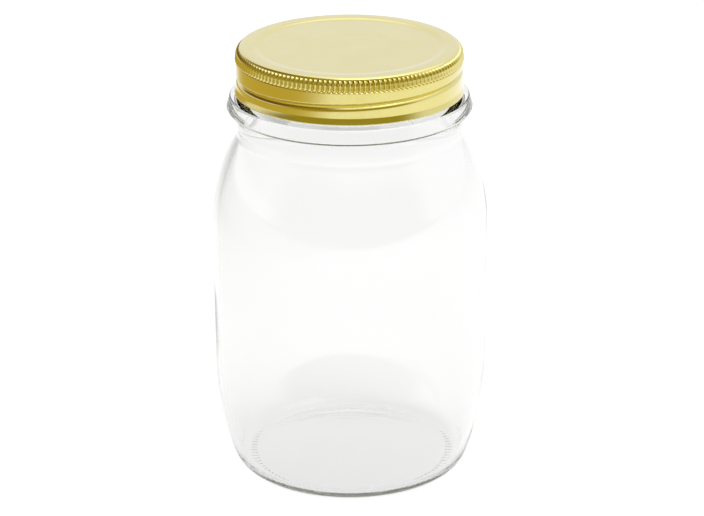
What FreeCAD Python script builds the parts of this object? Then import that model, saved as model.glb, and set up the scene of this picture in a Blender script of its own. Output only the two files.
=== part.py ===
# A clear glass storage jar, its one-piece pressed metal screw cap, and the loose sealing liner
# between them. Millimetres, +Z up, origin at the middle of the surface that the jar stands on.
import FreeCAD, Part
import math
import os

# Screw thread shared by the glass finish and the cap
pitch = 6.35                # four turns to the inch
thread_gap = 0.42           # along the axis, between the glass thread and the cap's thread
thread_overlap = 0.45       # how far the cap's thread reaches in past the glass thread's crest
groove_front_rise = 5.2     # cap's lower edge to the middle of its groove at azimuth -90
section_angle = 12.0        # degrees between the sections that shape a thread
thread_fade = 34.0          # degrees over which a thread grows out of its wall

# Jar body
body_radius = 44.8
wall = 2.2
ledge_height = 127.8        # top of the transfer ring, just under the cap
lower_curve_height = 36.0   # below this the side curves in towards the foot
lower_curve_radius = 95.0
heel_radius = 5.7
shoulder_radius = 55.0

# Jar foot
foot_land = 2.0             # width of the flat ring that the jar stands on
push_up_edge = 1.6          # rise of the rounded step inside the foot
push_up_run = 3.2           # width of that step
push_up_dome = 1.4          # further rise to the middle of the underside
base_thickness = 2.2        # glass between the dome and the level of the floor's edge
floor_crown = 0.9           # how far the floor rises at the middle
floor_fillet = 7.0

# Glass finish under the cap
mouth_radius = 30.5
mouth_fillet = 9.0
finish_wall = 2.9
finish_fillet = 0.8
rim_round = 0.8
glass_thread_depth = 1.35
glass_thread_root = 1.45    # half width where it leaves the wall
glass_thread_crest = 0.45   # half width at its crest
glass_thread_turn = 350.0
thread_rim_gap = 0.4        # between the thread's upper end and the rounding of the rim

# Neck and transfer ring
neck_step = 2.7             # the neck's radius less that of the finish
neck_length = 6.6           # ring's underside to the start of the shoulder's fillet
neck_fillet = 4.0
ring_height = 6.3
ring_overhang = 1.78        # how far the ledge's edge stands out past the cap's skirt
ring_flare = 1.4            # how much wider the ring is at its bottom
ring_corner = 1.1
ring_top_edge = 0.5
ring_under_fillet = 2.2

# Screw cap
sheet = 0.3
cap_height = 14.65
ledge_gap = 0.5             # between the ledge and the cap's lower edge
skirt_gap = 1.17            # between the glass thread's crest and the inside of the skirt
top_edge_radius = 2.4
rim_band = 2.32             # width of the flat raised rim of the cap
panel_step_run = 3.0
panel_depth = 1.05
knurl_count = 144
knurl_depth = 0.35
knurl_inset = 0.07          # how far the roots lie inside the plain skirt
knurl_height = 1.8
knurl_end_angle = 52.0      # how far round the top edge the tapered ends of the teeth reach
knurl_end_proud = 0.08      # how far their very ends stand out from it
bead_height = 1.9
bead_proud = 0.28
curl_height = 2.2
curl_gap = 0.33             # between the glass thread's crest and the rolled edge
cap_thread_mouth = 1.35     # half width of the groove at the skirt's outside
cap_thread_floor = 0.3      # half width of the groove at its bottom
cap_thread_start = -235.0
cap_thread_turn = 335.0

# Sealing liner
liner_thickness = 1.0       # under the recessed panel
liner_edge_round = 1.1
liner_step_gap = 0.4

# Radii that follow from the sizes above
finish_radius = mouth_radius + finish_wall
glass_thread_radius = finish_radius + glass_thread_depth
cap_inner_radius = glass_thread_radius + skirt_gap
skirt_radius = cap_inner_radius + sheet
cap_thread_radius = glass_thread_radius - thread_overlap
curl_inner_radius = glass_thread_radius + curl_gap
knurl_root_radius = skirt_radius - knurl_inset
knurl_crest_radius = knurl_root_radius + knurl_depth
knurl_seat = 0.75 * sheet       # how deep the ring of teeth reaches into the sheet
top_edge_centre = skirt_radius - top_edge_radius
panel_radius = top_edge_centre - rim_band - panel_step_run
neck_radius = finish_radius + neck_step
ring_top_radius = skirt_radius + ring_overhang
ring_radius = ring_top_radius + ring_flare

# Heights that follow from the sizes above
push_up_height = push_up_edge + push_up_dome
floor_height = push_up_height + base_thickness
ring_under_height = ledge_height - ring_height
cap_bottom = ledge_height + ledge_gap
cap_top = cap_bottom + cap_height
panel_top = cap_top - panel_depth
panel_under = panel_top - sheet
rim_height = panel_under - liner_thickness
groove_front_height = cap_bottom + groove_front_rise

# The shoulder meets the neck in a fillet, and the side is straight below the shoulder
neck_fillet_height = ring_under_height - neck_length
neck_fillet_across = neck_radius + neck_fillet - body_radius + shoulder_radius
shoulder_rise = math.sqrt((shoulder_radius + neck_fillet)**2 - neck_fillet_across**2)
shoulder_height = neck_fillet_height - shoulder_rise
shoulder_centre = (body_radius - shoulder_radius, shoulder_height)
lower_centre = (body_radius - lower_curve_radius, lower_curve_height)


def at(r, z, azimuth=0.0):
    """The point at radius r, height z and an azimuth in degrees."""
    turn = math.radians(azimuth)
    return FreeCAD.Vector(r * math.cos(turn), r * math.sin(turn), z)


def towards(start, end, distance):
    """The point at a distance from start on the way to end, as (r, z)."""
    length = math.dist(start, end)
    share = distance / length
    return (start[0] + (end[0] - start[0]) * share, start[1] + (end[1] - start[1]) * share)


class Outline:
    """A closed outline of lines and arcs in the r-z plane, revolved into a solid."""

    def __init__(self, r, z):
        self.here = (r, z)
        self.start = (r, z)
        self.edges = []

    def line(self, r, z):
        """Goes straight to r, z."""
        if math.dist(self.here, (r, z)) > 1e-6:
            self.edges.append(Part.makeLine(at(*self.here), at(r, z)))
        self.here = (r, z)
        return self

    def arc(self, r, z, centre):
        """Goes round a centre (r, z) to r, z, the short way."""
        radius = math.dist(self.here, centre)
        chord_middle = ((self.here[0] + r) / 2, (self.here[1] + z) / 2)
        middle = towards(centre, chord_middle, radius)
        self.edges.append(Part.Arc(at(*self.here), at(*middle), at(r, z)).toShape())
        self.here = (r, z)
        return self

    def bulge(self, r, z, through):
        """Goes to r, z on the arc that passes through a point (r, z)."""
        self.edges.append(Part.Arc(at(*self.here), at(*through), at(r, z)).toShape())
        self.here = (r, z)
        return self

    def soft_step(self, r, z):
        """Goes to r, z on two equal arcs that leave and arrive level."""
        run = abs(r - self.here[0])
        rise = z - self.here[1]
        radius = (run * run + rise * rise) / (4 * abs(rise))
        side = math.copysign(radius, rise)
        halfway = ((self.here[0] + r) / 2, (self.here[1] + z) / 2)
        self.arc(*halfway, centre=(self.here[0], self.here[1] + side))
        return self.arc(r, z, centre=(r, z - side))

    def solid(self):
        """Closes the outline and revolves it once round the axis."""
        self.line(*self.start)
        face = Part.Face(Part.Wire(self.edges))
        return face.revolve(FreeCAD.Vector(0, 0, 0), FreeCAD.Vector(0, 0, 1), 360)


def groove_height(azimuth):
    """Height of the middle of the cap's groove at an azimuth in degrees."""
    return groove_front_height + pitch * (azimuth + 90.0) / 360.0


def helical_ridge(start, turn, lift, buried, base, crest):
    """A ridge along the screw. base and crest are (radius, half width); its ends sink to buried."""
    count = max(8, math.ceil(turn / section_angle))
    sections = []
    for index in range(count + 1):
        along = turn * index / count
        share = min(1.0, along / thread_fade, (turn - along) / thread_fade)
        share = share * share * (3 - 2 * share)
        crest_radius = buried + (crest[0] - buried) * share
        azimuth = start + along
        z = groove_height(azimuth) + lift
        corners = [(base[0], -base[1]), (crest_radius, -crest[1]),
                   (crest_radius, crest[1]), (base[0], base[1])]
        points = [at(r, z + offset, azimuth) for r, offset in corners]
        sections.append(Part.makePolygon(points + points[:1]))
    return Part.makeLoft(sections, True, False)


def jar_cavity_edge(outline):
    """Adds the inside of the jar, from the rim down to the middle of the floor."""
    inner_shoulder = shoulder_radius - wall
    reach = inner_shoulder + mouth_fillet
    across = mouth_radius + mouth_fillet - shoulder_centre[0]
    mouth_centre = (mouth_radius + mouth_fillet, shoulder_height + math.sqrt(reach**2 - across**2))
    outline.line(mouth_radius, mouth_centre[1])
    outline.arc(*towards(shoulder_centre, mouth_centre, inner_shoulder), centre=mouth_centre)
    outline.arc(body_radius - wall, shoulder_height, centre=shoulder_centre)
    outline.line(body_radius - wall, lower_curve_height)
    inner_lower = lower_curve_radius - wall
    fillet_z = floor_height + floor_fillet
    fillet_r = lower_centre[0] + math.sqrt(
        (inner_lower - floor_fillet)**2 - (lower_curve_height - fillet_z)**2)
    fillet_centre = (fillet_r, fillet_z)
    outline.arc(*towards(lower_centre, fillet_centre, inner_lower), centre=lower_centre)
    outline.arc(fillet_r, floor_height, centre=fillet_centre)
    crown_radius = (fillet_r**2 + floor_crown**2) / (2 * floor_crown)
    outline.arc(0, floor_height + floor_crown, centre=(0, floor_height + floor_crown - crown_radius))


def jar_outside_edge(outline):
    """Adds the outside of the jar, from the middle of its underside up to the rim."""
    heel_r = lower_centre[0] + math.sqrt(
        (lower_curve_radius - heel_radius)**2 - (lower_curve_height - heel_radius)**2)
    heel_centre = (heel_r, heel_radius)
    step_r = heel_r - foot_land - push_up_run
    dome_radius = (step_r**2 + push_up_dome**2) / (2 * push_up_dome)
    outline.arc(step_r, push_up_edge, centre=(0, push_up_height - dome_radius))
    outline.soft_step(heel_r - foot_land, 0)
    outline.line(heel_r, 0)
    outline.arc(*towards(lower_centre, heel_centre, lower_curve_radius), centre=heel_centre)
    outline.arc(body_radius, lower_curve_height, centre=lower_centre)
    outline.line(body_radius, shoulder_height)
    neck_centre = (neck_radius + neck_fillet, neck_fillet_height)
    outline.arc(*towards(shoulder_centre, neck_centre, shoulder_radius), centre=shoulder_centre)
    outline.arc(neck_radius, neck_fillet_height, centre=neck_centre)


def ring_and_finish_edge(outline):
    """Adds the transfer ring, the ledge and the plain wall of the finish up to the rim."""
    under = ring_under_height
    outline.line(neck_radius, under - ring_under_fillet)
    outline.arc(neck_radius + ring_under_fillet, under,
                centre=(neck_radius + ring_under_fillet, under - ring_under_fillet))
    outline.line(ring_radius - ring_corner, under)
    outline.arc(ring_radius, under + ring_corner, centre=(ring_radius - ring_corner, under + ring_corner))
    slope_start = (ring_radius, under + ring_corner)
    edge_start = towards((ring_top_radius, ledge_height), slope_start, ring_top_edge)
    outline.line(*edge_start)
    lean = math.atan2(ring_radius - ring_top_radius, ledge_height - slope_start[1])
    round_radius = ring_top_edge * math.tan(math.pi / 4 + lean / 2)
    outline.arc(ring_top_radius - ring_top_edge, ledge_height,
                centre=(ring_top_radius - ring_top_edge, ledge_height - round_radius))
    outline.line(finish_radius + finish_fillet, ledge_height)
    outline.arc(finish_radius, ledge_height + finish_fillet,
                centre=(finish_radius + finish_fillet, ledge_height + finish_fillet))
    outline.line(finish_radius, rim_height - rim_round)
    outline.arc(finish_radius - rim_round, rim_height,
                centre=(finish_radius - rim_round, rim_height - rim_round))
    outline.line(mouth_radius + rim_round, rim_height)
    outline.arc(mouth_radius, rim_height - rim_round,
                centre=(mouth_radius + rim_round, rim_height - rim_round))


def half_width_at(radius, wide, narrow):
    """Half width of a ridge at a radius, between two of its (radius, half width) corners."""
    share = (radius - wide[0]) / (narrow[0] - wide[0])
    return wide[1] + (narrow[1] - wide[1]) * share


def cap_thread_corners():
    """The inside of the pressed thread: its (radius, half width) at the wall and at its crest."""
    depth = skirt_radius - cap_thread_radius - sheet
    slant = sheet * math.hypot(cap_thread_mouth - cap_thread_floor, depth) / depth
    wall_corner = (cap_inner_radius, cap_thread_mouth + slant / 2)
    crest_corner = (cap_thread_radius, cap_thread_floor + sheet / 2)
    return wall_corner, crest_corner


def glass_jar():
    """The jar with its foot, ring and threaded finish."""
    outline = Outline(0, push_up_height)
    jar_outside_edge(outline)
    ring_and_finish_edge(outline)
    jar_cavity_edge(outline)
    root = (finish_radius, glass_thread_root)
    crest = (glass_thread_radius, glass_thread_crest)
    cap_crest = cap_thread_corners()[1]
    lift = half_width_at(cap_crest[0], root, crest) + cap_crest[1] + thread_gap
    sunk = (finish_radius - glass_thread_depth / 2, glass_thread_root)
    upper_end = rim_height - rim_round - thread_rim_gap - glass_thread_root
    end = (upper_end - lift - groove_front_height) / pitch * 360.0 - 90.0
    ridge = helical_ridge(end - glass_thread_turn, glass_thread_turn, lift,
                          finish_radius - glass_thread_depth / 4, sunk, crest)
    return outline.solid().fuse(ridge)


def cap_shell():
    """The plain pressed sheet of the cap, with its panel, rounded edge, bead and rolled hem."""
    edge_centre = (top_edge_centre, cap_top - top_edge_radius)
    hem_round = (skirt_radius - curl_inner_radius) / 2
    hem_corner = hem_round * (1 - math.cos(math.radians(45)))
    hem_top = cap_bottom + curl_height
    bead_top = hem_top + bead_height
    bead_middle = hem_top + bead_height / 2
    bead_radius = skirt_radius + bead_proud
    outline = Outline(0, panel_top)
    outline.line(panel_radius, panel_top)
    outline.soft_step(panel_radius + panel_step_run, cap_top)
    outline.line(edge_centre[0], cap_top)
    outline.arc(skirt_radius, edge_centre[1], centre=edge_centre)
    outline.line(skirt_radius, bead_top)
    outline.bulge(skirt_radius, hem_top, through=(bead_radius, bead_middle))
    outline.line(skirt_radius, cap_bottom + hem_round)
    outline.bulge(curl_inner_radius, cap_bottom + hem_round,
                  through=(skirt_radius - hem_round, cap_bottom))
    outline.line(curl_inner_radius, hem_top - hem_round)
    outline.bulge(cap_inner_radius, hem_top,
                  through=(curl_inner_radius + hem_corner, hem_top - hem_corner))
    outline.bulge(cap_inner_radius, bead_top, through=(bead_radius - sheet, bead_middle))
    outline.line(cap_inner_radius, edge_centre[1])
    outline.arc(edge_centre[0], cap_top - sheet, centre=edge_centre)
    outline.line(panel_radius + panel_step_run, cap_top - sheet)
    outline.soft_step(panel_radius, panel_under)
    outline.line(0, panel_under)
    return outline.solid()


def knurl_outline(crest, z):
    """A closed star with one point for each tooth of the knurl."""
    points = []
    for tooth in range(knurl_count):
        azimuth = 360.0 * tooth / knurl_count
        points.append(at(crest, z, azimuth))
        points.append(at(crest - knurl_depth, z, azimuth + 180.0 / knurl_count))
    return Part.makePolygon(points + points[:1])


def knurl_band():
    """The ring of teeth, straight at the bottom and tapered up the rounded top edge."""
    top = cap_top - top_edge_radius
    bottom = top - knurl_height
    stars = [knurl_outline(knurl_crest_radius, bottom)]
    for share in (0.0, 0.5, 1.0):
        angle = math.radians(knurl_end_angle * share)
        proud = knurl_depth - knurl_inset + (knurl_end_proud - knurl_depth + knurl_inset) * share
        reach = top_edge_radius + proud
        stars.append(knurl_outline(top_edge_centre + reach * math.cos(angle), top + reach * math.sin(angle)))
    teeth = Part.makeLoft(stars, True, True)
    bore_radius = top_edge_radius - knurl_seat
    bore = Outline(0, bottom - sheet)
    bore.line(top_edge_centre + bore_radius, bottom - sheet)
    bore.line(top_edge_centre + bore_radius, top)
    bore.arc(top_edge_centre, top + bore_radius, centre=(top_edge_centre, top))
    bore.line(0, top + bore_radius)
    return teeth.cut(bore.solid())


def screw_cap():
    """The cap with its knurl and its pressed helical thread."""
    cap = cap_shell().fuse(knurl_band())
    wall_corner, crest_corner = cap_thread_corners()
    in_sheet = cap_inner_radius + sheet / 2
    ridge = helical_ridge(cap_thread_start, cap_thread_turn, 0, in_sheet - sheet / 4,
                          (in_sheet, wall_corner[1]), crest_corner)
    outside = skirt_radius + 2 * sheet
    groove_bottom = (cap_thread_radius + sheet, cap_thread_floor)
    mouth = half_width_at(outside, (skirt_radius, cap_thread_mouth), groove_bottom)
    groove = helical_ridge(cap_thread_start, cap_thread_turn, 0, outside - sheet / 4,
                           (outside, mouth), groove_bottom)
    return cap.fuse(ridge).cut(groove)


def sealing_liner():
    """The disc that fills the cap's top and meets the rim of the jar."""
    radius = top_edge_centre + liner_edge_round
    rim_top = cap_top - sheet
    edge_start = rim_top - liner_edge_round
    step_start = panel_radius + liner_step_gap
    outline = Outline(0, rim_height)
    outline.line(radius, rim_height)
    outline.line(radius, edge_start)
    outline.arc(top_edge_centre, rim_top, centre=(top_edge_centre, edge_start))
    outline.line(step_start + panel_step_run, rim_top)
    outline.soft_step(step_start, panel_under)
    outline.line(0, panel_under)
    return outline.solid()


def main():
    """Builds each piece and writes it to its own STEP file."""
    os.makedirs("parts", exist_ok=True)
    pieces = {"glass_jar": glass_jar(), "screw_cap": screw_cap(), "sealing_liner": sealing_liner()}
    for name, shape in pieces.items():
        shape.exportStep("parts/" + name + ".step")
        box = shape.optimalBoundingBox()
        print(name, len(shape.Solids), "solid", len(shape.Faces), "faces", shape.isValid(),
              "volume", round(shape.Volume, 1), "z", round(box.ZMin, 2), round(box.ZMax, 2))


main()
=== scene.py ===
"""A clear glass storage jar with a gold screw cap and its liner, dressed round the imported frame.

Lengths are metres, +Z is up, and the origin is the middle of the surface that the jar stands on.
"""

import logging
import math
from dataclasses import dataclass, field
from enum import Enum

import bpy
from mathutils import Matrix, Vector


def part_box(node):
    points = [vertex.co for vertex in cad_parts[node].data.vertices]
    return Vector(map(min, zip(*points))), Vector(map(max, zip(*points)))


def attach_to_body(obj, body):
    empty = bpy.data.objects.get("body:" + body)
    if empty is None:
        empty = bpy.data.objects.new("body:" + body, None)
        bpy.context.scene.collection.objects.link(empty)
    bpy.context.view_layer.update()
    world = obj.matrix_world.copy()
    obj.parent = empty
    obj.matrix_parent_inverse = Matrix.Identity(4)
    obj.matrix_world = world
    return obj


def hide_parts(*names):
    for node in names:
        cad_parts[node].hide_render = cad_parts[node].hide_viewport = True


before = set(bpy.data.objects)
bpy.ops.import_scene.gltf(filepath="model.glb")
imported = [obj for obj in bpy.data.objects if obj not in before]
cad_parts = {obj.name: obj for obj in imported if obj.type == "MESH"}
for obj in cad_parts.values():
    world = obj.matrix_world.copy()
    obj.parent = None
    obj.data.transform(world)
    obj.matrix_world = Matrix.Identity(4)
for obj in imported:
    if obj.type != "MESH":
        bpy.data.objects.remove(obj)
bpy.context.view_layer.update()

log = logging.getLogger("jar")

MM = 0.001
Point = tuple[float, float]
Triple = tuple[float, float, float]
Material = bpy.types.Material
Mesh = bpy.types.Mesh
Node = bpy.types.Node
Socket = bpy.types.NodeSocket
Thing = bpy.types.Object
ON_AXIS = 1e-7
FLAT_GUARD = 0.12 * MM
GREATEST_GUARD = 0.3


class Body(Enum):
    """The moving bodies of the frame."""

    JAR = "jar"
    LINER = "liner"
    CAP = "cap"


class Slot(Enum):
    """The material slots."""

    GLASS = "clear_glass"
    GOLD = "gold_lacquer"
    BOARD = "liner_board"


# -------- Outlines and lathed meshes --------


class Outline:
    """An outline in the r-z half plane, sampled as it is drawn.

    Attributes:
        zone: Name of the stretch that the next points belong to.
        rows: Radius, height and zone of each point.
    """

    def __init__(self, r: float, z: float) -> None:
        """Starts at radius r and height z."""
        self.zone = ""
        self.rows: list[tuple[float, float, str]] = []
        self.add((r, z))

    @property
    def here(self) -> Point:
        """The last point drawn."""
        return self.rows[-1][:2]

    def add(self, *points: Point) -> "Outline":
        """Adds points to the stretch being drawn."""
        self.rows += [(r, z, self.zone) for r, z in points]
        return self

    def line(self, r: float, z: float, steps: int = 1) -> "Outline":
        """Goes straight to r, z, with a row close to each end that keeps the flat between them flat.

        Args:
            r: Radius to reach.
            z: Height to reach.
            steps: Equal parts that the middle is divided into.

        Returns:
            The outline itself.
        """
        start, length = self.here, math.dist(self.here, (r, z))
        guard = min(GREATEST_GUARD, FLAT_GUARD / length) if length > 0 else GREATEST_GUARD
        shares = [guard + (1 - 2 * guard) * i / steps for i in range(steps + 1)] + [1.0]
        return self.add(*((start[0] + (r - start[0]) * share, start[1] + (z - start[1]) * share)
                          for share in shares))

    def arc(self, r: float, z: float, centre: Point, steps: int = 8) -> "Outline":
        """Goes round a centre to r, z, the short way.

        Args:
            r: Radius to reach.
            z: Height to reach.
            centre: The arc's centre as (r, z).
            steps: Equal parts that the arc is divided into.

        Returns:
            The outline itself.
        """
        start = self.here
        first = math.atan2(start[1] - centre[1], start[0] - centre[0])
        sweep = math.atan2(z - centre[1], r - centre[0]) - first
        sweep = (sweep + math.pi) % (2 * math.pi) - math.pi
        first_radius, last_radius = math.dist(start, centre), math.dist((r, z), centre)
        for i in range(1, steps + 1):
            share = i / steps
            angle = first + sweep * share
            radius = first_radius + (last_radius - first_radius) * share
            self.add((centre[0] + radius * math.cos(angle), centre[1] + radius * math.sin(angle)))
        return self

    def round_level(self, r: float, z: float, steps: int) -> "Outline":
        """Goes round a quarter of a circle to r, z, starting level."""
        return self.arc(r, z, (self.here[0], z), steps)

    def round_upright(self, r: float, z: float, steps: int) -> "Outline":
        """Goes round a quarter of a circle to r, z, starting upright."""
        return self.arc(r, z, (r, self.here[1]), steps)

    def soft_step(self, r: float, z: float, steps: int = 6) -> "Outline":
        """Goes to r, z on two equal arcs that leave and arrive level."""
        start = self.here
        run, rise = abs(r - start[0]), z - start[1]
        radius = (run * run + rise * rise) / (4 * abs(rise))
        side = math.copysign(radius, rise)
        self.arc((start[0] + r) / 2, (start[1] + z) / 2, (start[0], start[1] + side), steps)
        return self.arc(r, z, (r, z - side), steps)


def smooth(share: float) -> float:
    """A smooth rise from 0 to 1 as the share goes from 0 to 1."""
    share = min(1.0, max(0.0, share))
    return share * share * (3 - 2 * share)


def towards(start: Point, end: Point, distance: float) -> Point:
    """The point at a distance from start on the way to end."""
    share = distance / math.dist(start, end)
    return (start[0] + (end[0] - start[0]) * share, start[1] + (end[1] - start[1]) * share)


def smoothed(mesh: Mesh) -> None:
    """Shades every face of a mesh smooth."""
    mesh.polygons.foreach_set("use_smooth", [True] * len(mesh.polygons))
    mesh.update()


@dataclass
class Lathe:
    """Turns an outline into a closed mesh, with more columns where the rows are fine.

    Attributes:
        outline: The outline, from one point on the axis to another.
        columns: Columns round the axis.
        fine: Names of the zones whose rows get more columns.
        factor: How many times more columns those rows get.
    """

    outline: Outline
    columns: int = 208
    fine: tuple[str, ...] = ()
    factor: int = 4

    def mesh(self, name: str) -> Mesh:
        """Builds the mesh, outside faces pointing outwards.

        Args:
            name: Name of the mesh.

        Returns:
            The mesh, with a point attribute named after each zone.
        """
        vertices: list[Triple] = []
        rings: list[list[int]] = []
        zones: list[str] = []
        for r, z, zone in self.outline.rows:
            count = 1 if r < ON_AXIS else self.columns * (self.factor if zone in self.fine else 1)
            rings.append(list(range(len(vertices), len(vertices) + count)))
            for i in range(count):
                angle = 2 * math.pi * i / count
                vertices.append((r * math.cos(angle), r * math.sin(angle), z))
                zones.append(zone)
        faces = [face for low, high in zip(rings, rings[1:]) for face in self.band(low, high)]
        mesh = bpy.data.meshes.new(name)
        mesh.from_pydata(vertices, [], faces)
        for zone in sorted(set(zones) - {""}):
            attribute = mesh.attributes.new(zone, "FLOAT", "POINT")
            attribute.data.foreach_set("value", [1.0 if other == zone else 0.0 for other in zones])
        smoothed(mesh)
        return mesh

    @staticmethod
    def band(low: list[int], high: list[int]) -> list[tuple[int, ...]]:
        """The faces between two rows, which may have different numbers of columns."""
        if len(low) == len(high) == 1:
            return []
        count = min(n for n in (len(low), len(high)) if n > 1)
        faces = []
        for i in range(count):
            edges = []
            for row in (low, high):
                part = len(row) // count
                edges.append([row[(i * part + k) % len(row)] for k in range(part + 1)] if part else row)
            faces.append(tuple(edges[0] + edges[1][::-1]))
        return faces


# -------- Node building --------


class NodeBuilder:
    """Adds and links nodes in a tree of any kind."""

    def __init__(self, tree: bpy.types.NodeTree) -> None:
        """Takes the tree to build in."""
        self.tree = tree

    def node(self, kind: str, **settings: object) -> Node:
        """Adds a node and sets its properties."""
        node = self.tree.nodes.new(kind)
        for key, value in settings.items():
            setattr(node, key, value)
        return node

    def feed(self, socket: Socket, value: object) -> None:
        """Links a socket to another, or gives it a constant; a colour of three numbers is opaque."""
        if isinstance(value, Socket):
            self.tree.links.new(value, socket)
        elif socket.type == "RGBA":
            socket.default_value = (*value[:3], 1.0)
        else:
            socket.default_value = value

    def fill(self, node: Node | str, **values: object) -> Socket | None:
        """Feeds inputs of a node, or of a new node of a kind, by name, with underscores for spaces.

        Args:
            node: The node or the kind.
            values: What each input is linked to or set to.

        Returns:
            The node's first output, if it has any.
        """
        node = self.node(node) if isinstance(node, str) else node
        for key, value in values.items():
            self.feed(node.inputs[key.replace("_", " ")], value)
        return node.outputs[0] if node.outputs else None

    def fed(self, kind: str, *values: object, **settings: object) -> Socket:
        """The first output of a new node whose first inputs are given."""
        node = self.node(kind, **settings)
        for socket, value in zip(node.inputs, values):
            self.feed(socket, value)
        return node.outputs[0]

    def math(self, operation: str, *values: object) -> Socket:
        """A Math node's result."""
        return self.fed("ShaderNodeMath", *values, operation=operation)

    def product(self, first: object, *factors: object) -> Socket:
        """All the factors multiplied together."""
        for factor in factors:
            first = self.math("MULTIPLY", first, factor)
        return first

    def ramp(self, value: object, low: object, high: object, first: object = 0.0, last: object = 1.0,
             kind: str = "SMOOTHSTEP") -> Socket:
        """A change from first at low to last at high, smooth unless the kind says LINEAR."""
        return self.fed("ShaderNodeMapRange", value, low, high, first, last, interpolation_type=kind)

    def split(self, vector: Socket) -> list[Socket]:
        """A vector's x, y and z."""
        node = self.node("ShaderNodeSeparateXYZ")
        self.feed(node.inputs[0], vector)
        return list(node.outputs)

    def blend(self, share: object, first: object, last: object) -> Socket:
        """A colour that goes from first to last as the share goes from 0 to 1."""
        mix = self.node("ShaderNodeMix", data_type="RGBA")
        ends = [socket for socket in mix.inputs if socket.type == "RGBA"]
        for socket, value in zip((mix.inputs[0], *ends), (share, first, last)):
            self.feed(socket, value)
        return [socket for socket in mix.outputs if socket.type == "RGBA"][0]


class ShapeTree(NodeBuilder):
    """A Geometry Nodes tree with named inputs, ending in Realize Instances and Set Material."""

    def __init__(self, name: str, floats: dict[str, float]) -> None:
        """Makes the tree.

        Args:
            name: Name of the tree.
            floats: Each named size that the tree takes, with its value.
        """
        super().__init__(bpy.data.node_groups.new(name, "GeometryNodeTree"))
        face = self.tree.interface
        face.new_socket("Geometry", in_out="INPUT", socket_type="NodeSocketGeometry")
        self.values = dict(floats)
        for label in floats:
            face.new_socket(label, in_out="INPUT", socket_type="NodeSocketFloat")
        face.new_socket("Material", in_out="INPUT", socket_type="NodeSocketMaterial")
        face.new_socket("Geometry", in_out="OUTPUT", socket_type="NodeSocketGeometry")
        self.entry = self.node("NodeGroupInput")

    def given(self) -> list[Socket]:
        """The named sizes, in their order."""
        return [self.entry.outputs[label] for label in self.values]

    def attribute(self, name: str) -> Socket:
        """A point attribute of the mesh."""
        node = self.node("GeometryNodeInputNamedAttribute", data_type="FLOAT")
        self.fill(node, Name=name)
        return node.outputs["Attribute"]

    def place(self) -> tuple[Socket, ...]:
        """A point's x, y and z, its radius and its angle round the axis."""
        x, y, z = self.split(self.node("GeometryNodeInputPosition").outputs[0])
        radius = self.math("SQRT", self.math("ADD", self.product(x, x), self.product(y, y)))
        return x, y, z, radius, self.math("ARCTAN2", y, x)

    def shift(self, x: object, y: object, z: object) -> Socket:
        """The mesh with every point moved by x, y, z."""
        return self.fill("GeometryNodeSetPosition", Geometry=self.entry.outputs["Geometry"],
                         Offset=self.fed("ShaderNodeCombineXYZ", x, y, z))

    def swell(self, distance: Socket, x: Socket, y: Socket, radius: object) -> Socket:
        """The mesh with every point moved away from the axis by a distance."""
        outward = self.math("DIVIDE", distance, radius)
        return self.shift(self.product(x, outward), self.product(y, outward), 0.0)

    def close(self, geometry: Socket) -> "ShapeTree":
        """Ends the tree in Realize Instances and Set Material."""
        painted = self.fill("GeometryNodeSetMaterial", Material=self.entry.outputs["Material"],
                            Geometry=self.fed("GeometryNodeRealizeInstances", geometry))
        self.fill("NodeGroupOutput", Geometry=painted)
        return self

    def apply(self, piece: Thing, material: Material) -> None:
        """Adds the tree to a piece as a modifier, with its sizes given by socket identifier.

        Args:
            piece: The object to shape.
            material: The finish that the tree sets.
        """
        modifier = piece.modifiers.new(self.tree.name, "NODES")
        modifier.node_group = self.tree
        for item in self.tree.interface.items_tree:
            if item.in_out == "INPUT" and item.name in self.values:
                modifier[item.identifier] = float(self.values[item.name])
            elif item.in_out == "INPUT" and item.name == "Material":
                modifier[item.identifier] = material


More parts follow.
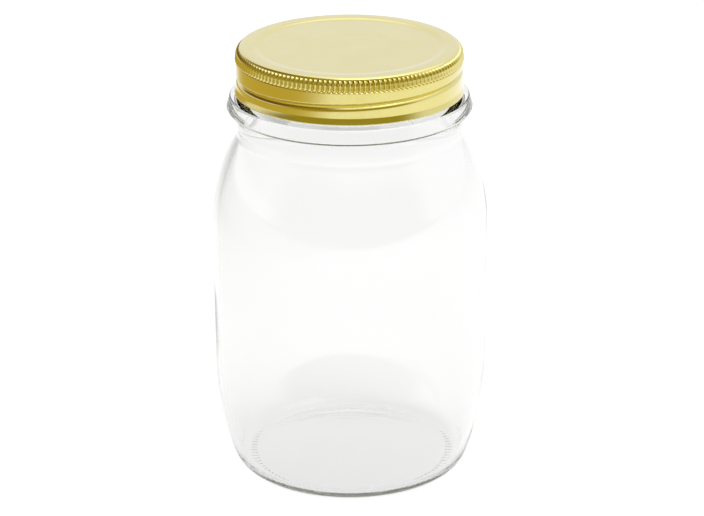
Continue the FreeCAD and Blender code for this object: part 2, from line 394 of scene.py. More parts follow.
@dataclass(frozen=True)
class Screw:
    """The helix that the glass thread and the pressed thread of the cap both follow.

    Attributes:
        pitch: Rise in one turn.
        front_height: Height of the cap's groove at the front, straight below -Y.
        lift: How far the glass thread runs above the cap's groove.
    """

    pitch: float = 6.35 * MM
    front_height: float = 134.4 * MM
    lift: float = 0.75 * MM

    def tree(self, name: str, zone: str, depth: float, widths: Triple, fall: float, turns: Point,
             fade: float, lift: float = 0.0) -> ShapeTree:
        """A tree that raises or sinks a helical band of a lathed wall.

        Args:
            name: Name of the tree.
            zone: Point attribute of the wall that may move.
            depth: Height of the band, negative for a groove.
            widths: From the helix up to the band's upper foot, down to its lower foot, and to its crest.
            fall: Power that shapes the lower side, 1 for a straight slope.
            turns: Turns from the front at which the band starts and ends.
            fade: Turns over which each end grows.
            lift: Distance along the axis from the groove's own helix.

        Returns:
            The finished tree.
        """
        shape = ShapeTree(name, {
            "Pitch": self.pitch, "Front height": self.front_height + lift, "Depth": depth,
            "Upper foot": widths[0], "Lower foot": widths[1], "Crest": widths[2], "Fall": fall,
            "First turn": turns[0], "Last turn": turns[1], "Fade": fade})
        pitch, front, height, upper, lower, crest, power, first, last, growth = shape.given()
        x, y, z, radius, angle = shape.place()
        # The angle is 0 along +X and the front is -Y, a quarter of a turn before it.
        part_turn = shape.math("ADD", shape.math("DIVIDE", angle, 2 * math.pi), 0.25)
        climbed = shape.math("DIVIDE", shape.math("SUBTRACT", z, front), pitch)
        turn = shape.math("ADD", part_turn, shape.math("ROUND", shape.math("SUBTRACT", climbed, part_turn)))
        off_helix = shape.product(shape.math("SUBTRACT", climbed, turn), pitch)
        above = shape.ramp(off_helix, crest, upper, 1.0, 0.0)
        below = shape.ramp(shape.product(off_helix, -1.0), crest, lower, 1.0, 0.0, "LINEAR")
        amount = shape.product(
            height, above, shape.math("POWER", below, power),
            shape.ramp(turn, first, shape.math("ADD", first, growth)),
            shape.ramp(turn, shape.math("SUBTRACT", last, growth), last, 1.0, 0.0), shape.attribute(zone))
        return shape.close(shape.swell(amount, x, y, radius))


def new_piece(name: str, mesh: Mesh, material: Material) -> Thing:
    """Puts a mesh into the scene as an object at the origin."""
    piece = bpy.data.objects.new(name, mesh)
    bpy.context.scene.collection.objects.link(piece)
    mesh.materials.clear()
    mesh.materials.append(material)
    return piece


def settle(piece: Thing, material: Material) -> Thing:
    """Turns what the modifiers make into a plain mesh, and removes them.

    Args:
        piece: The object with its modifiers.
        material: The one finish that the plain mesh keeps.

    Returns:
        The same object with a plain mesh.
    """
    bpy.context.view_layer.update()
    graph = bpy.context.evaluated_depsgraph_get()
    mesh = bpy.data.meshes.new_from_object(piece.evaluated_get(graph), depsgraph=graph)
    piece.modifiers.clear()
    piece.data = mesh
    mesh.name = piece.name
    mesh.materials.clear()
    mesh.materials.append(material)
    for zone in [attribute.name for attribute in mesh.attributes if attribute.name.endswith("_zone")]:
        mesh.attributes.remove(mesh.attributes[zone])
    smoothed(mesh)
    return piece


def attach(piece: Thing, body: Body, slot: Slot, *nodes: str) -> None:
    """Makes a piece ride on a body, hides the nodes that it stands for, and logs it."""
    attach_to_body(piece, body.value)
    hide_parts(*nodes)
    triangles = sum(len(face.vertices) - 2 for face in piece.data.polygons)
    log.info("%s: %d triangles on %s", piece.name, triangles, body.value)


# -------- Finishes --------


class Finish(NodeBuilder):
    """A procedural material in the making."""

    def __init__(self, name: str, colour: Triple) -> None:
        """Starts from a Principled surface of one colour."""
        self.material = bpy.data.materials.new(name)
        self.material.use_nodes = True
        self.material.diffuse_color = (*colour, 1.0)
        super().__init__(self.material.node_tree)
        self.surface = self.tree.nodes["Principled BSDF"]
        self.set(Base_Color=colour)
        self.place = self.node("ShaderNodeTexCoord").outputs["Object"]

    def set(self, **values: object) -> None:
        """Feeds sockets of the surface by name, with underscores for spaces."""
        self.fill(self.surface, **values)

    def stretched(self, scale: Triple) -> Socket:
        """Object coordinates scaled along each axis."""
        return self.fill("ShaderNodeMapping", Scale=scale, Vector=self.place)

    def noise(self, scale: float, detail: float = 2.0, roughness: float = 0.5,
              vector: Socket | None = None) -> Socket:
        """Noise of a scale in features to the metre."""
        return self.fill("ShaderNodeTexNoise", Scale=scale, Detail=detail, Roughness=roughness,
                         Vector=vector or self.place)

    def spread(self, source: Socket, low: float, high: float, to: Point = (0.0, 1.0)) -> Socket:
        """Maps a value from low and high to another range, in a straight line."""
        return self.ramp(source, low, high, *to, "LINEAR")

    def bump(self, height: Socket, distance: float, strength: float = 1.0) -> None:
        """Raises the surface by a height, in metres at full strength."""
        self.set(Normal=self.fill("ShaderNodeBump", Strength=strength, Distance=distance, Height=height))


@dataclass(frozen=True)
class ClearGlass:
    """Colourless soda-lime glass with the faint waviness that the mould leaves.

    Attributes:
        colour: What the surface lets through.
        deep: Colour that thick glass turns to.
        density: How quickly it does so, per metre.
        ior: Index of refraction.
        wave_scale: Waves to the metre.
        wave_height: Height of the waves.
    """

    colour: Triple = (0.995, 0.995, 0.995)
    deep: Triple = (0.5, 0.52, 0.44)
    density: float = 10.0
    ior: float = 1.5
    wave_scale: float = 55.0
    wave_height: float = 0.06 * MM

    def material(self) -> Material:
        """Builds the material."""
        finish = Finish("clear_glass", self.colour)
        finish.set(Roughness=0.0, IOR=self.ior, Transmission_Weight=1.0)
        finish.bump(finish.noise(self.wave_scale, 1.0), self.wave_height)
        depth = finish.fill("ShaderNodeVolumeAbsorption", Color=self.deep, Density=self.density)
        finish.fill(finish.tree.nodes["Material Output"], Volume=depth)
        return finish.material


@dataclass(frozen=True)
class GoldLacquer:
    """Clear gold lacquer rolled on to bright tinplate, satin and slightly uneven.

    Attributes:
        colour: The main gold.
        deep: The gold where the lacquer lies thicker.
        roughness: Least and greatest roughness.
        coat_roughness: Roughness of the clear top of the lacquer.
        coat_ior: Its index of refraction.
        patches: Thicker patches to the metre.
        smears: Rougher spots to the metre.
        grains: Grain lines to the metre.
        grain: Height of the rolled grain.
    """

    colour: Triple = (0.80, 0.71, 0.24)
    deep: Triple = (0.78, 0.68, 0.20)
    roughness: Point = (0.15, 0.21)
    coat_roughness: float = 0.14
    coat_ior: float = 1.7
    patches: float = 90.0
    smears: float = 700.0
    grains: float = 2600.0
    grain: float = 0.002 * MM

    def material(self) -> Material:
        """Builds the material."""
        finish = Finish("gold_lacquer", self.colour)
        thicker = finish.spread(finish.noise(self.patches, 3.0), 0.35, 0.7)
        finish.set(Metallic=1.0,
                   Coat_Weight=1.0, Coat_Roughness=self.coat_roughness, Coat_IOR=self.coat_ior,
                   Base_Color=finish.blend(thicker, self.colour, self.deep),
                   Roughness=finish.spread(finish.noise(self.smears), 0.3, 0.7, self.roughness))
        grain = finish.noise(self.grains, 2.0, 0.6, finish.stretched((1.0, 0.25, 1.0)))
        finish.bump(grain, self.grain, 0.5)
        return finish.material


@dataclass(frozen=True)
class LinerBoard:
    """White-faced pulp board, matt, with a faint fibre.

    Attributes:
        colour: The white face.
        shade: The colour of its fibres.
        roughness: Roughness of the face.
        fibres: Fibres to the metre.
        fibre_height: Their height.
    """

    colour: Triple = (0.86, 0.85, 0.80)
    shade: Triple = (0.78, 0.76, 0.70)
    roughness: float = 0.75
    fibres: float = 1400.0
    fibre_height: float = 0.03 * MM

    def material(self) -> Material:
        """Builds the material."""
        finish = Finish("liner_board", self.colour)
        fibre = finish.noise(self.fibres, 4.0, 0.65, finish.stretched((1.0, 3.0, 1.0)))
        share = finish.spread(fibre, 0.4, 0.7)
        finish.set(Roughness=self.roughness, Base_Color=finish.blend(share, self.colour, self.shade))
        finish.bump(fibre, self.fibre_height, 0.5)
        return finish.material


# -------- The jar --------


@dataclass
class Jar:
    """The glass jar: foot, side, shoulder, transfer ring and threaded finish.

    Heights are above the surface that it stands on. The body's radius and the rim's height are the frame's.

    Attributes:
        screw: The helix that its thread follows.
        glass: Its finish.
        thread_widths: From the helix to the thread's upper foot, lower foot and crest.
        thread_fall: Power that shapes its lower side.
        stipple_count: Ridges under the foot.
        stipple_fade: Height at which they have faded out.
        waves: Features of the uneven inside to the metre.
        wave_grows: Radii between which the unevenness grows.
    """

    screw: Screw
    glass: ClearGlass = field(default_factory=ClearGlass)
    wall: float = 2.2 * MM
    lower_curve_height: float = 36.0 * MM
    lower_curve_radius: float = 95.0 * MM
    heel_radius: float = 5.7 * MM
    shoulder_radius: float = 55.0 * MM
    foot_land: float = 2.0 * MM
    push_up: float = 3.0 * MM
    base_thickness: float = 2.2 * MM
    floor_height: float = 2.8 * MM
    floor_fillet: float = 4.3 * MM
    mouth_radius: float = 30.5 * MM
    mouth_end: float = 127.0 * MM
    flare_rows: int = 14
    finish_radius: float = 33.4 * MM
    finish_fillet: float = 0.8 * MM
    rim_round: float = 0.8 * MM
    thread_depth: float = 1.35 * MM
    thread_widths: Triple = (1.45 * MM, 1.45 * MM, 0.35 * MM)
    thread_fall: float = 1.0
    thread_turns: Point = (-0.473, 0.499)
    thread_fade: float = 0.095
    neck_radius: float = 36.1 * MM
    neck_fillet: float = 4.0 * MM
    neck_fillet_height: float = 114.9 * MM
    ring_under_height: float = 122.3 * MM
    ring_radius: float = 39.4 * MM
    ring_corner: float = 1.3 * MM
    ring_top_radius: float = 38.3 * MM
    ring_top_edge: float = 0.5 * MM
    ring_under_fillet: float = 1.0 * MM
    ledge_height: float = 127.2 * MM
    stipple_count: float = 104.0
    stipple_depth: float = 0.09 * MM
    stipple_fade: float = 1.1 * MM
    wave: float = 0.16 * MM
    waves: float = 26.0
    wave_grows: Point = (4.0 * MM, 20.0 * MM)

    def __post_init__(self) -> None:
        """Reads the body's radius and the rim's height from the frame, and places the two big curves."""
        low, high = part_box("glass_jar")
        self.body_radius = high.x
        self.rim_height = high.z
        across = self.neck_radius + self.neck_fillet - self.body_radius + self.shoulder_radius
        rise = math.sqrt((self.shoulder_radius + self.neck_fillet) ** 2 - across**2)
        self.shoulder_height = self.neck_fillet_height - rise
        self.neck_centre = (self.neck_radius + self.neck_fillet, self.neck_fillet_height)
        self.shoulder_centre = (self.body_radius - self.shoulder_radius, self.shoulder_height)
        self.lower_centre = (self.body_radius - self.lower_curve_radius, self.lower_curve_height)

    def draw_foot(self, outline: Outline) -> None:
        """Draws the underside, the flat ring that the jar stands on, and the heel."""
        span = self.lower_curve_radius - self.heel_radius
        drop = self.lower_curve_height - self.heel_radius
        heel_r = self.lower_centre[0] + math.sqrt(span**2 - drop**2)
        heel_centre = (heel_r, self.heel_radius)
        dome_r = heel_r - self.foot_land
        dome_radius = (dome_r**2 + self.push_up**2) / (2 * self.push_up)
        outline.arc(dome_r, 0.0, (0.0, self.push_up - dome_radius), 24)
        outline.zone = "stipple_zone"
        outline.line(heel_r, 0.0, 4)
        outline.arc(*towards(self.lower_centre, heel_centre, self.lower_curve_radius), heel_centre, 12)
        outline.zone = "side_zone"

    def draw_side(self, outline: Outline) -> None:
        """Draws the lower curve, the straight side, the shoulder and the neck."""
        outline.arc(self.body_radius, self.lower_curve_height, self.lower_centre, 20)
        outline.line(self.body_radius, self.shoulder_height, 4)
        start = towards(self.shoulder_centre, self.neck_centre, self.shoulder_radius)
        outline.arc(*start, self.shoulder_centre, 24)
        outline.arc(self.neck_radius, self.neck_fillet_height, self.neck_centre, 8)

    def draw_ring(self, outline: Outline) -> None:
        """Draws the transfer ring and the ledge on top of it."""
        under, corner = self.ring_under_height, self.ring_corner
        outline.line(self.neck_radius, under - self.ring_under_fillet, 2)
        outline.round_upright(self.neck_radius + self.ring_under_fillet, under, 8)
        outline.line(self.ring_radius - corner, under).round_level(self.ring_radius, under + corner, 8)
        slope_start = (self.ring_radius, under + corner)
        edge = self.ring_top_edge
        outline.line(*towards((self.ring_top_radius, self.ledge_height), slope_start, edge), 3)
        lean = math.atan2(self.ring_radius - self.ring_top_radius, self.ledge_height - slope_start[1])
        level_r = self.ring_top_radius - edge
        round_centre = (level_r, self.ledge_height - edge * math.tan(math.pi / 4 + lean / 2))
        outline.arc(level_r, self.ledge_height, round_centre, 6)

    def draw_finish(self, outline: Outline) -> None:
        """Draws the wall that carries the thread, and the rim."""
        fillet, edge = self.finish_fillet, self.rim_round
        outline.line(self.finish_radius + fillet, self.ledge_height, 2)
        outline.round_level(self.finish_radius, self.ledge_height + fillet, 6)
        outline.zone = "thread_zone"
        outline.line(self.finish_radius, self.rim_height - edge, 54)
        outline.zone = "rim_zone"
        outline.round_upright(self.finish_radius - edge, self.rim_height, 7)
        outline.line(self.mouth_radius + edge, self.rim_height)
        outline.round_level(self.mouth_radius, self.rim_height - edge, 7)

    def draw_inside(self, outline: Outline) -> None:
        """Draws the cavity, from the rim down to the middle of the floor."""
        inner_shoulder = self.shoulder_radius - self.wall
        neck_inside = self.neck_radius - self.wall
        outline.line(self.mouth_radius, self.mouth_end, 4)
        flare, drop = neck_inside - self.mouth_radius, self.mouth_end - self.neck_fillet_height
        for row in range(1, self.flare_rows + 1):
            share = row / self.flare_rows
            outline.add((self.mouth_radius + flare * smooth(share), self.mouth_end - drop * share))
        outline.arc(*towards(self.shoulder_centre, self.neck_centre, inner_shoulder), self.neck_centre, 8)
        outline.zone = "inside_zone"
        outline.arc(self.body_radius - self.wall, self.shoulder_height, self.shoulder_centre, 22)
        outline.line(self.body_radius - self.wall, self.lower_curve_height, 12)
        inner_lower = self.lower_curve_radius - self.wall
        fillet_z = self.floor_height + self.floor_fillet
        fillet_r = self.lower_centre[0] + math.sqrt(
            (inner_lower - self.floor_fillet) ** 2 - (self.lower_curve_height - fillet_z) ** 2)
        fillet_centre = (fillet_r, fillet_z)
        outline.arc(*towards(self.lower_centre, fillet_centre, inner_lower), self.lower_centre, 20)
        outline.arc(fillet_r, self.floor_height, fillet_centre, 12)
        middle = self.push_up + self.base_thickness
        crown = middle - self.floor_height
        outline.arc(0.0, middle, (0.0, middle - (fillet_r**2 + crown**2) / (2 * crown)), 24)

    def mesh(self) -> Mesh:
        """Lathes the whole outline."""
        outline = Outline(0.0, self.push_up)
        for draw in (self.draw_foot, self.draw_side, self.draw_ring, self.draw_finish, self.draw_inside):
            draw(outline)
        return Lathe(outline, fine=("stipple_zone",)).mesh("glass_jar_clear")

    def stipple_tree(self) -> ShapeTree:
        """A tree that cuts fine radial ridges into the ring that the jar stands on."""
        shape = ShapeTree("foot ridges", {"Count": self.stipple_count, "Depth": self.stipple_depth,
                                          "Fade height": self.stipple_fade})
        count, depth, fade_height = shape.given()
        _, _, z, _, angle = shape.place()
        wave = shape.math("COSINE", shape.product(angle, count))
        amount = shape.product(depth, shape.math("MULTIPLY_ADD", wave, 0.5, 0.5),
                               shape.ramp(z, 0.0, fade_height, 1.0, 0.0), shape.attribute("stipple_zone"))
        return shape.close(shape.shift(0.0, 0.0, amount))

    def wave_tree(self) -> ShapeTree:
        """A tree that gives the blown inside its gentle unevenness."""
        shape = ShapeTree("blown inside", {"Height": self.wave, "Waves": self.waves,
                                           "Still": self.wave_grows[0], "Full": self.wave_grows[1]})
        height, waves, still, full = shape.given()
        x, y, _, radius, _ = shape.place()
        noise = shape.fill("ShaderNodeTexNoise", Scale=waves, Detail=1.0)
        amount = shape.product(shape.math("SUBTRACT", noise, 0.5), 2.0, height,
                               shape.attribute("inside_zone"), shape.ramp(radius, still, full))
        return shape.close(shape.swell(amount, x, y, shape.math("MAXIMUM", radius, MM)))

    def build(self) -> None:
        """Builds the jar and puts it in place of its node."""
        material = self.glass.material()
        piece = new_piece("glass_jar_clear", self.mesh(), material)
        thread = self.screw.tree("glass thread", "thread_zone", self.thread_depth, self.thread_widths,
                                 self.thread_fall, self.thread_turns, self.thread_fade, self.screw.lift)
        for tree in (thread, self.stipple_tree(), self.wave_tree()):
            tree.apply(piece, material)
        attach(settle(piece, material), Body.JAR, Slot.GLASS, "glass_jar")


# -------- The cap --------


@dataclass
class Cap:
    """The pressed sheet cap: panel, knurl, thread groove and rolled hem.

    Its height and its radius over the knurl are the frame's.

    Attributes:
        screw: The helix that its groove follows.
        gold: Its finish.
        knurl_proud: How far the teeth stand out from the skirt.
        knurl_recess: How far the wall between them is pressed in.
        knurl_end_angle: Where the teeth end on the rounded edge, in degrees above level.
        knurl_share: Width of a tooth as a share of its pitch.
        knurl_lean: How much lower a tooth is from tooth_lean_share of its length upwards.
        knurl_cells: Cells across and along a tooth.
        knurl_root: How far its back lies inside the wall.
        tooth_ends: Cells over which its lower and its upper end rise, from tooth_end_start of a cell.
        press_start: Degrees past the teeth's end at which the wall starts to be pressed in.
        press_span: Degrees over which it is.
        press_end: Height over which it comes out again below the teeth.
        rim_band: Width of the flat rim.
        hem_edge: Rounding of the sheet's edge.
        groove_widths: From the helix to the groove's upper foot, lower foot and bottom.
        groove_fall: Power that shapes its lower side.
    """

    screw: Screw
    gold: GoldLacquer = field(default_factory=GoldLacquer)
    sheet: float = 0.3 * MM
    knurl_proud: float = 0.28 * MM
    knurl_recess: float = 0.54 * MM
    knurl_height: float = 1.8 * MM
    knurl_end_angle: float = 56.0
    knurl_count: int = 144
    knurl_share: float = 0.98
    knurl_power: float = 1.25
    knurl_lean: float = 0.26 * MM
    knurl_cells: tuple[int, int] = (10, 16)
    knurl_root: float = 0.05 * MM
    knurl_overlap: float = 0.2 * MM
    tooth_ends: Point = (2.2, 3.2)
    tooth_end_start: float = 0.3
    tooth_lean_share: float = 0.45
    press_start: float = 4.0
    press_span: float = 14.0
    press_guard: float = 0.1 * MM
    press_end: float = 0.35 * MM
    top_edge_radius: float = 2.4 * MM
    rim_band: float = 2.32 * MM
    panel_step_run: float = 3.4 * MM
    panel_depth: float = 0.4 * MM
    skirt_rows: int = 52
    hem_height: float = 2.05 * MM
    hem_width: float = 1.14 * MM
    hem_flare: float = 0.56 * MM
    hem_flare_power: float = 1.1
    hem_edge: float = 0.32 * MM
    hem_gap: float = 0.1 * MM
    groove_depth: float = 1.25 * MM
    groove_widths: Triple = (0.8 * MM, 2.0 * MM, 0.05 * MM)
    groove_fall: float = 3.0
    groove_turns: Point = (-0.40, 0.53)
    groove_fade: float = 0.095

    def __post_init__(self) -> None:
        """Reads the cap's height and radius from the frame."""
        low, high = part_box("screw_cap")
        self.bottom = low.z
        self.top = high.z
        self.skirt_radius = high.x - self.knurl_proud
        self.edge_centre = (self.skirt_radius - self.top_edge_radius, self.top - self.top_edge_radius)
        self.knurl_bottom = self.edge_centre[1] - self.knurl_height

    def edge_points(self, inset: float) -> list[Point]:
        """The rounded top edge and the wall behind the knurl, pressed in between the teeth.

        Args:
            inset: How far inside the outer face the line lies.

        Returns:
            Points from the flat rim down to the plain skirt.
        """
        points, rows, end_rows = [], 18, 4
        for row in range(1, rows + 1):
            angle = math.radians(90.0 - 90.0 * row / rows)
            past_teeth = math.degrees(angle) - self.knurl_end_angle
            pressed = smooth((self.press_start - past_teeth) / self.press_span)
            reach = self.top_edge_radius - inset - self.knurl_recess * pressed
            points.append((self.edge_centre[0] + reach * math.cos(angle),
                           self.edge_centre[1] + reach * math.sin(angle)))
        wall = self.skirt_radius - inset
        points.append((wall - self.knurl_recess, self.knurl_bottom + self.press_guard))
        for share in (row / end_rows for row in range(end_rows + 1)):
            points.append((wall - self.knurl_recess * (1 - smooth(share)),
                           self.knurl_bottom - self.press_end * share))
        return points

    def draw_top(self, outline: Outline, down: float) -> None:
        """Draws the panel, its step and the raised rim, from the middle out.

        Args:
            outline: The outline, at the middle of the panel.
            down: How far below the upper side of the sheet the line lies.
        """
        rim_start = self.edge_centre[0] - self.rim_band
        panel = self.top - self.panel_depth - down
        outline.line(rim_start - self.panel_step_run, panel, 3)
        outline.soft_step(rim_start, self.top - down, 8)
        outline.line(self.edge_centre[0], self.top - down, 2)

    def draw_skirt(self, outline: Outline) -> None:
        """Draws the rounded edge and the skirt on the outside, down to the hem."""
        outline.add(*self.edge_points(0.0))
        outline.zone = "skirt_zone"
        outline.line(self.skirt_radius, self.bottom + self.hem_height, self.skirt_rows)
        outline.zone = "hem_zone"

    def draw_hem(self, outline: Outline) -> None:
        """Draws the edge of the sheet, which flares out and is rolled inwards to a rounded hem."""
        half, edge, rows = self.hem_width / 2, self.hem_edge, 10
        hem_top = self.bottom + self.hem_height
        middle = self.skirt_radius - half
        for row in range(1, rows + 1):
            share = row / rows
            outline.add((self.skirt_radius + self.hem_flare * share**self.hem_flare_power,
                         hem_top - (self.hem_height - edge) * share))
        outline.round_upright(self.skirt_radius + self.hem_flare - edge, self.bottom, 8)
        outline.line(middle, self.bottom).round_level(middle - half, self.bottom + half, 6)
        outline.line(middle - half, hem_top - half).round_upright(middle, hem_top, 6)
        outline.line(self.skirt_radius - self.sheet, hem_top + self.hem_gap)

    def draw_inner_skirt(self, outline: Outline) -> None:
        """Draws the inside of the skirt and of the rounded edge, going up."""
        outline.zone = "inner_skirt_zone"
        back = self.edge_points(self.sheet)[::-1]
        outline.line(*back[0], self.skirt_rows)
        outline.zone = "under_zone"
        outline.add(*back[1:])

    def mesh(self) -> Mesh:
        """Lathes the sheet."""
        outline = Outline(0.0, self.top - self.panel_depth)
        self.draw_top(outline, 0.0)
        self.draw_skirt(outline)
        self.draw_hem(outline)
        self.draw_inner_skirt(outline)
        under = Outline(0.0, self.top - self.panel_depth - self.sheet)
        self.draw_top(under, self.sheet)
        outline.add(*((r, z) for r, z, _ in reversed(under.rows[:-1])))
        outline.rows.reverse()
        return Lathe(outline, columns=224).mesh("screw_cap_sheet")

    def tooth_row(self, share: float) -> tuple[Point, Point]:
        """A point on the wall behind a tooth and the direction outwards, at a share of its length."""
        turn = math.radians(self.knurl_end_angle)
        straight = self.knurl_height + self.knurl_overlap
        length = straight + self.top_edge_radius * turn
        along = length * share - straight
        angle = max(0.0, along / self.top_edge_radius)
        reach = self.top_edge_radius - self.knurl_recess
        foot = (self.edge_centre[0] + reach * math.cos(angle),
                self.edge_centre[1] + reach * math.sin(angle) + min(0.0, along))
        return foot, (math.cos(angle), math.sin(angle))

    def tooth_mesh(self) -> Mesh:
        """One tooth of the knurl at azimuth 0: a closed rounded rib with rounded ends."""
        half_angle = math.pi / self.knurl_count * self.knurl_share
        across, along = self.knurl_cells
        full = self.knurl_proud + self.knurl_recess
        vertices, rings = [], []
        for j in range(along + 1):
            foot, out = self.tooth_row(j / along)
            ends = ((cells + self.tooth_end_start) / rise
                    for cells, rise in zip((j, along - j), self.tooth_ends))
            end = min(1.0, *ends)
            lean = self.knurl_lean * min(1.0, j / along / self.tooth_lean_share)
            height = (full - lean) * math.sqrt(1 - (1 - end) ** 2)
            sides = [2 * i / across - 1 for i in range(across + 1)]
            lifts = [(side, height * (1 - abs(side) ** self.knurl_power)) for side in sides]
            ring = []
            for side, lift in lifts + [(1.0, -self.knurl_root), (-1.0, -self.knurl_root)]:
                radius, z = foot[0] + lift * out[0], foot[1] + lift * out[1]
                ring.append(len(vertices))
                angle = half_angle * side
                vertices.append((radius * math.cos(angle), radius * math.sin(angle), z))
            rings.append(ring)
        faces = [tuple(rings[0][::-1]), tuple(rings[-1])]
        for low, high in zip(rings, rings[1:]):
            faces += [(low[i - 1], low[i], high[i], high[i - 1]) for i in range(len(low))]
        mesh = bpy.data.meshes.new("knurl_tooth")
        mesh.from_pydata(vertices, [], faces)
        mesh.update()
        return mesh

    def knurl_tree(self) -> ShapeTree:
        """A tree that repeats one tooth round the axis."""
        shape = ShapeTree("knurl", {"Count": float(self.knurl_count)})
        (count,) = shape.given()
        line = shape.fill(shape.node("GeometryNodeMeshLine", mode="OFFSET"), Count=count,
                          Offset=(0.0, 0.0, 0.0))
        index = shape.node("GeometryNodeInputIndex").outputs[0]
        angle = shape.math("DIVIDE", shape.product(index, 2 * math.pi), count)
        return shape.close(shape.fill(
            "GeometryNodeInstanceOnPoints", Points=line, Instance=shape.entry.outputs["Geometry"],
            Rotation=shape.fed("ShaderNodeCombineXYZ", 0.0, 0.0, angle)))

    def build(self) -> None:
        """Builds the sheet and its knurl and puts them in place of the node."""
        material = self.gold.material()
        shell = new_piece("screw_cap_sheet", self.mesh(), material)
        for zone in ("skirt_zone", "inner_skirt_zone"):
            self.screw.tree("groove in " + zone, zone, -self.groove_depth, self.groove_widths,
                            self.groove_fall, self.groove_turns, self.groove_fade).apply(shell, material)
        attach(settle(shell, material), Body.CAP, Slot.GOLD, "screw_cap")
        teeth = new_piece("screw_cap_knurl", self.tooth_mesh(), material)
        self.knurl_tree().apply(teeth, material)
        attach(settle(teeth, material), Body.CAP, Slot.GOLD, "screw_cap")


# -------- The liner --------


@dataclass
class Liner:
    """The loose board disc that seals the rim.

    Attributes:
        board: Its finish.
        rim_band: Width of its raised edge.
        step_run: Width of the step inside that edge.
        thin: Its thickness under the recessed panel.
        edge_round: Rounding of its upper corner.
        corner: Rounding of its lower corner.
        dent: Depth of the ring that the jar's rim presses in.
        dent_reach: Radii between which it lies.
    """

    board: LinerBoard = field(default_factory=LinerBoard)
    rim_band: float = 3.02 * MM
    step_run: float = 3.0 * MM
    thin: float = 1.0 * MM
    edge_round: float = 1.1 * MM
    corner: float = 0.2 * MM
    dent: float = 0.06 * MM
    dent_reach: Point = (30.4 * MM, 33.5 * MM)

    def mesh(self) -> Mesh:
        """Lathes the disc, with the faint ring that the rim presses into its underside."""
        low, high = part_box("sealing_liner")
        radius, bottom, top = high.x, low.z, high.z
        start, end = self.dent_reach
        outline = Outline(0.0, bottom).line(start, bottom, 8)
        rows = 12
        for share in (row / rows for row in range(1, rows + 1)):
            press = self.dent * (1 - math.cos(2 * math.pi * share)) / 2
            outline.add((start + (end - start) * share, bottom + press))
        outline.line(radius - self.corner, bottom).round_level(radius, bottom + self.corner, 4)
        outline.line(radius, top - self.edge_round).round_upright(radius - self.edge_round, top, 8)
        outline.line(radius - self.rim_band, top)
        outline.soft_step(radius - self.rim_band - self.step_run, bottom + self.thin, 6)
        outline.line(0.0, bottom + self.thin, 6)
        return Lathe(outline, columns=160).mesh("sealing_liner_board")

    def build(self) -> None:
        """Builds the liner and puts it in place of its node."""
        material = self.board.material()
        piece = new_piece("sealing_liner_board", self.mesh(), material)
        attach(piece, Body.LINER, Slot.BOARD, "sealing_liner")


# -------- The studio --------


class LightTree(NodeBuilder):
    """The nodes of a surface or a surround that looks different to each kind of ray."""

    def __init__(self, tree: bpy.types.NodeTree) -> None:
        """Starts from an empty tree."""
        super().__init__(tree)
        tree.nodes.clear()
        self.path = self.node("ShaderNodeLightPath")

    def choose(self, kind: str, yes: object, no: object) -> Socket:
        """One value for a kind of ray and another for the rest."""
        mix = self.node("ShaderNodeMix", data_type="FLOAT")
        for index, value in ((0, self.path.outputs[kind]), (2, no), (3, yes)):
            self.feed(mix.inputs[index], value)
        return mix.outputs[0]

    def seen_as(self, camera: object, mirror: object, through: object, light: object) -> Socket:
        """A strength for each kind of ray.

        Args:
            camera: For rays from the camera.
            mirror: For rays that a shiny surface reflects.
            through: For rays that glass passes on.
            light: For the rays that light everything else.

        Returns:
            The strength.
        """
        # Rays that smooth glass passes on count as glossy too, so they are picked out first.
        passed = self.choose("Is Transmission Ray", through, self.choose("Is Glossy Ray", mirror, light))
        return self.choose("Diffuse Depth", light, self.choose("Is Camera Ray", camera, passed))


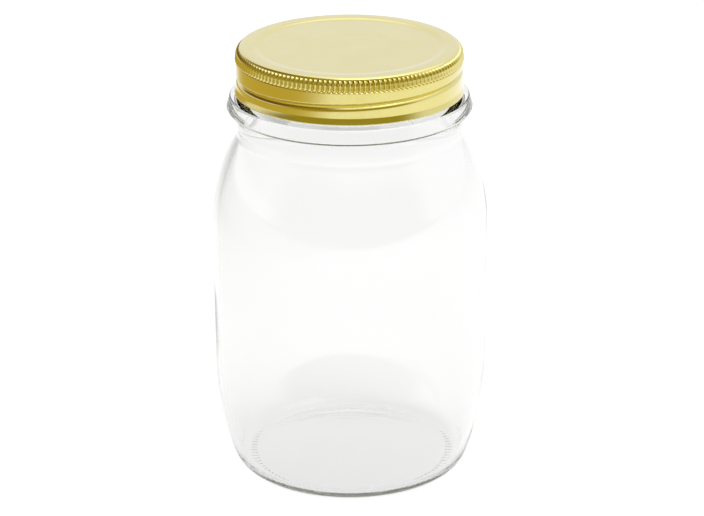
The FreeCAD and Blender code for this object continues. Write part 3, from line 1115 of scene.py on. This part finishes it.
@dataclass
class Studio:
    """White floor and surround, one soft lamp, and the camera.

    The floor and the surround are white to the camera. What shows in reflections and through glass has
    painted shade on the camera's side and on the left, as in a room with a window behind and to the right;
    it does not light the matt surfaces.

    Attributes:
        camera_place: Where the camera stands.
        camera_pitch: How far it looks down, in degrees.
        camera_roll: How far it leans, in degrees.
        lens: Its focal length in millimetres, on a sensor 36 mm wide.
        floor_size: Side of the square floor.
        floor_glow: The floor's own light as seen through glass.
        to_camera: How much more of it the camera sees.
        to_mirrors: How much more of it reflections show.
        floor_colour: The floor's own colour.
        floor_shade_left: Where along X the floor starts and stops turning, in reflections, to the left's
            painted shade.
        floor_shade_front: Where along Y it does so to the camera side's painted shade.
        fill: Strength of the surround as a light.
        above: Its strength in reflections, low and overhead, where it is a painted highlight.
        above_from: Heights of the direction between which that changes.
        beside: Its strength through glass away from the camera's side, and on it as painted shade.
        front_from: Where the painted shade of the camera's side starts and is full, along Y.
        front_fades: Heights between which it grows downwards.
        front_top: Its least share, at the top.
        left_from: Where the painted shade of the left starts and is full, along X.
        left_rises: Heights between which it grows upwards.
        left_ends: Where it ends towards the back, along Y.
        camera_facing_shade: Colour of the painted shade on the camera's side, in the satin metal.
        floor_shade_colour: Colour of the painted shade on the floor's left, in the satin metal.
        room_left_shade: Colour of the painted shade on the room's left, in the satin metal.
        glass_camera_facing_shade: Colour of the painted shade on the camera's side, in the clear glass.
        glass_left_shade: Colour of the painted shade on the left, in the clear glass.
        lamp_place: Where the soft lamp hangs.
        lamp_size: Its side.
        lamp_power: Its power in watts.
        bounces: How often light may turn inside the glass.
    """

    camera_place: Triple = (0.62 * MM, -762.7 * MM, 377.4 * MM)
    camera_pitch: float = 21.95
    camera_roll: float = -0.2
    lens: float = 128.15
    floor_size: float = 30.0
    floor_glow: float = 0.765
    to_camera: float = 0.185
    to_mirrors: float = 0.065
    floor_colour: Triple = (0.8, 0.8, 0.8)
    floor_shade_left: Point = (-0.10, -0.35)
    floor_shade_front: Point = (-0.5, -0.9)
    fill: float = 0.16
    above: Point = (0.90, 1.3)
    above_from: Point = (0.48, 0.68)
    beside: Point = (1.05, 0.5)
    front_from: Point = (-0.15, -0.65)
    front_fades: Point = (0.88, 0.3)
    front_top: float = 0.12
    left_from: Point = (-0.05, -0.35)
    left_rises: Point = (0.08, 0.25)
    left_ends: Point = (0.85, 0.65)
    camera_facing_shade: Triple = (0.40, 0.33, 0.04)
    floor_shade_colour: Triple = (0.56, 0.43, 0.09)
    room_left_shade: Triple = (0.16, 0.09, 0.015)
    glass_camera_facing_shade: Triple = (0.24, 0.24, 0.21)
    glass_left_shade: Triple = (0.66, 0.66, 0.64)
    lamp_place: Triple = (0.25, -0.05, 1.1)
    lamp_size: float = 0.7
    lamp_power: float = 2.6
    bounces: int = 32

    def add_camera(self) -> None:
        """Adds the camera and makes it the scene's."""
        data = bpy.data.cameras.new("camera")
        data.lens = self.lens
        data.sensor_width = 36.0
        data.clip_start = 0.01
        data.clip_end = 100.0
        camera = bpy.data.objects.new("camera", data)
        camera.location = self.camera_place
        tilt = Matrix.Rotation(math.radians(90.0 - self.camera_pitch), 3, "X")
        lean = Matrix.Rotation(math.radians(self.camera_roll), 3, "Z")
        camera.rotation_euler = (tilt @ lean).to_euler()
        bpy.context.scene.collection.objects.link(camera)
        bpy.context.scene.camera = camera

    def mirrored(self, light: LightTree, left: object, front: object, left_colour: Triple) -> Socket:
        """The surround's colour: white, but painted shade for reflections on the left and the camera's
        side.

        Args:
            light: The tree to build in.
            left: Share of the left side's painted shade.
            front: Share of the camera side's painted shade.
            left_colour: Colour of the left side's painted shade in satin metal.

        Returns:
            The colour.
        """
        # Clear glass mirrors sharply and satin metal doesn't, so each gets painted shade colours of its
        # own.
        shiny, sharp = (light.path.outputs[kind] for kind in ("Is Glossy Ray", "Is Singular Ray"))
        shade_at_left = light.blend(sharp, left_colour, self.glass_left_shade)
        shade_at_side = light.blend(sharp, self.camera_facing_shade, self.glass_camera_facing_shade)
        shaded_at_left = light.blend(light.product(left, shiny), (1.0, 1.0, 1.0), shade_at_left)
        return light.blend(light.product(front, shiny), shaded_at_left, shade_at_side)

    def add_floor(self) -> None:
        """Adds the pale floor, which glows where it is seen and still takes the jar's shadow."""
        half, under = self.floor_size / 2, -0.05 * MM
        mesh = bpy.data.meshes.new("floor")
        corners = [(-half, -half, under), (half, -half, under), (half, half, under), (-half, half, under)]
        mesh.from_pydata(corners, [], [(0, 1, 2, 3)])
        material = bpy.data.materials.new("pale_floor")
        material.use_nodes = True
        light = LightTree(material.node_tree)
        x, y, _ = light.split(light.node("ShaderNodeNewGeometry").outputs["Position"])
        # Painted shade: only in reflections and through glass, the floor turns dim on its left and towards
        # the camera.
        shade_in_reflections = self.mirrored(light, light.ramp(x, *self.floor_shade_left), light.ramp(y, *self.floor_shade_front),
                             self.floor_shade_colour)
        # The floor's diffuse colour carries the same painted shade, also only in reflections and through
        # glass.
        paint = light.fed("ShaderNodeVectorMath", shade_in_reflections, self.floor_colour, operation="MULTIPLY")
        seen = light.seen_as(self.floor_glow + self.to_camera, self.floor_glow + self.to_mirrors,
                             self.floor_glow, 0.0)
        both = light.fed("ShaderNodeAddShader", light.fill("ShaderNodeBsdfDiffuse", Color=paint),
                         light.fill("ShaderNodeEmission", Color=shade_in_reflections, Strength=seen))
        light.fill("ShaderNodeOutputMaterial", Surface=both)
        new_piece("floor", mesh, material)

    def add_world(self) -> None:
        """Adds the surround: white to the camera, painted shade in reflections on its side and left."""
        world = bpy.data.worlds.new("studio")
        world.use_nodes = True
        bpy.context.scene.world = world
        light = LightTree(world.node_tree)
        x, y, z = light.split(light.node("ShaderNodeTexCoord").outputs["Generated"])
        # Painted shade: the camera's side and the left are dim only in reflections and through glass.
        front = light.product(light.ramp(y, *self.front_from),
                              light.ramp(z, *self.front_fades, self.front_top, 1.0))
        left = light.product(light.ramp(x, *self.left_from), light.ramp(z, *self.left_rises),
                             light.ramp(y, *self.left_ends))
        # Painted highlight: brighter overhead in reflections only; as a light the surround gives the plain
        # fill.
        above = light.ramp(z, *self.above_from, *self.above)
        beside = light.ramp(front, 0.0, 1.0, *self.beside)
        background = light.fill(
            "ShaderNodeBackground", Color=self.mirrored(light, left, front, self.room_left_shade),
            Strength=light.seen_as(1.0, above, beside, self.fill))
        light.fill("ShaderNodeOutputWorld", Surface=background)

    def add_lamp(self) -> None:
        """Adds a square soft lamp overhead that faces the jar."""
        data = bpy.data.lights.new("overhead", "AREA")
        data.shape = "SQUARE"
        data.size = self.lamp_size
        data.energy = self.lamp_power
        lamp = bpy.data.objects.new("overhead", data)
        lamp.location = self.lamp_place
        sight = Vector((0, 0, 0.1)) - Vector(self.lamp_place)
        lamp.rotation_euler = sight.to_track_quat("-Z", "Y").to_euler()
        bpy.context.scene.collection.objects.link(lamp)

    def build(self) -> None:
        """Builds the whole studio."""
        self.add_camera()
        self.add_floor()
        self.add_world()
        self.add_lamp()
        scene = bpy.context.scene
        scene.view_settings.view_transform = "Standard"
        scene.cycles.max_bounces = self.bounces
        scene.cycles.glossy_bounces = self.bounces
        scene.cycles.transmission_bounces = self.bounces


def main() -> None:
    """Builds the studio and each piece in order."""
    logging.basicConfig(level=logging.INFO, format="%(name)s: %(message)s")
    screw = Screw()
    Studio().build()
    Jar(screw).build()
    Cap(screw).build()
    Liner().build()


if __name__ == "__main__":
    main()
